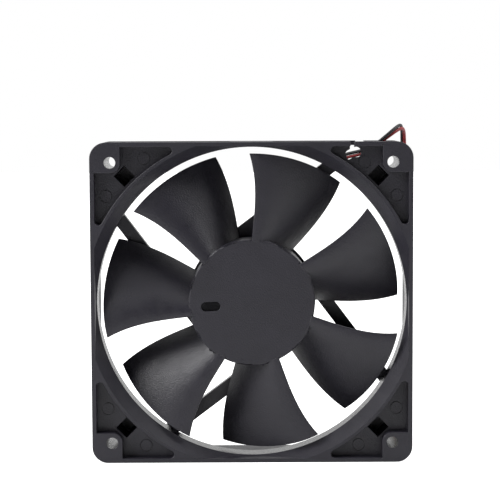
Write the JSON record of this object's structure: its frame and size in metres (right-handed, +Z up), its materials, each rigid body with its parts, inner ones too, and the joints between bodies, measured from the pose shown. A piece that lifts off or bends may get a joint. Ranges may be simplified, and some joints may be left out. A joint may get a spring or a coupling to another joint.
{
  "type": "axial case fan",
  "caption": "Square-framed axial cooling fan with a seven-bladed impeller, ball-bearing motor in the hub, open corner flanges and a two-wire lead with a plug.",
  "frame": {"origin": "middle of the bottom edge's footprint, on the surface that the fan stands on", "axes": "+X the fan's right seen from the front, +Y from the front towards the rear along the spin axis, +Z up"},
  "size_m": [0.1216, 0.051, 0.1265],
  "materials": {
    "black_pbt": "fine matt moulding texture",
    "impeller_pbt": "fine matt moulding texture",
    "yoke_steel": "drawn zinc-plated steel",
    "magnet_ferrite": "bonded ferrite",
    "bush_brass": "turned",
    "bearing_steel": "ground and polished",
    "spring_steel": "bright wire",
    "tube_brass": "turned",
    "core_steel": "stacked silicon steel sheet",
    "insulator_nylon": "natural moulded nylon",
    "copper_wire": "enamelled copper",
    "board_green": "solder-masked glass epoxy",
    "chip_black": "moulded epoxy",
    "chip_body": "ceramic",
    "tinned_metal": "tinned",
    "label_film": "plain silver film",
    "black_insulation": "soft PVC",
    "red_insulation": "soft PVC",
    "tie_nylon": "nylon",
    "plug_nylon": "natural moulded nylon"
  },
  "bodies": {
    "housing": {"frame": "black_pbt", "bearing_tube": "tube_brass", "stator_core": "core_steel", "front_insulator": "insulator_nylon", "rear_insulator": "insulator_nylon", "stator_windings": "copper_wire", "terminal_pins": "tinned_metal", "circuit_board": "board_green", "hall_driver": "chip_black", "driver_legs": "tinned_metal", "chip_resistors": "chip_black", "chip_capacitors": "chip_body", "polarity_diode": "chip_black", "rear_label": "label_film", "black_lead_held": "black_insulation", "red_lead_held": "red_insulation", "black_lead": "black_insulation", "red_lead": "red_insulation", "black_lead_end": "black_insulation", "red_lead_end": "red_insulation", "lead_coil": "black_insulation", "coil_tie": "tie_nylon", "plug_housing": "plug_nylon", "plug_contacts": "tinned_metal", "front_bearing_outer_ring": "bearing_steel", "front_bearing_shields": "bearing_steel", "rear_bearing_outer_ring": "bearing_steel", "rear_bearing_shields": "bearing_steel"},
    "rotor": {"impeller": "impeller_pbt", "rotor_yoke": "yoke_steel", "magnet_ring": "magnet_ferrite", "shaft_bush": "bush_brass", "shaft": "bearing_steel", "retaining_clip": "spring_steel", "preload_spring": "spring_steel", "front_bearing_inner_ring": "bearing_steel", "rear_bearing_inner_ring": "bearing_steel"},
    "front_ball_train": {"front_bearing_balls": "bearing_steel", "front_bearing_cage": "spring_steel"},
    "rear_ball_train": {"rear_bearing_balls": "bearing_steel", "rear_bearing_cage": "spring_steel"}
  },
  "joints": [
    {"name": "impeller_spin", "type": "hinge", "parent": "housing", "child": "rotor", "pos_m": [0, 0, 0.06], "axis": [0, -1, 0], "continuous": true},
    {"name": "front_cage_spin", "type": "hinge", "parent": "housing", "child": "front_ball_train", "pos_m": [0, -0.0028, 0.06], "axis": [0, -1, 0], "continuous": true},
    {"name": "rear_cage_spin", "type": "hinge", "parent": "housing", "child": "rear_ball_train", "pos_m": [0, 0.0076, 0.06], "axis": [0, -1, 0], "continuous": true}
  ],
  "couplings": [
    {"joint": "front_cage_spin", "follows": "impeller_spin", "ratio": 0.3909},
    {"joint": "rear_cage_spin", "follows": "impeller_spin", "ratio": 0.3909}
  ]
}
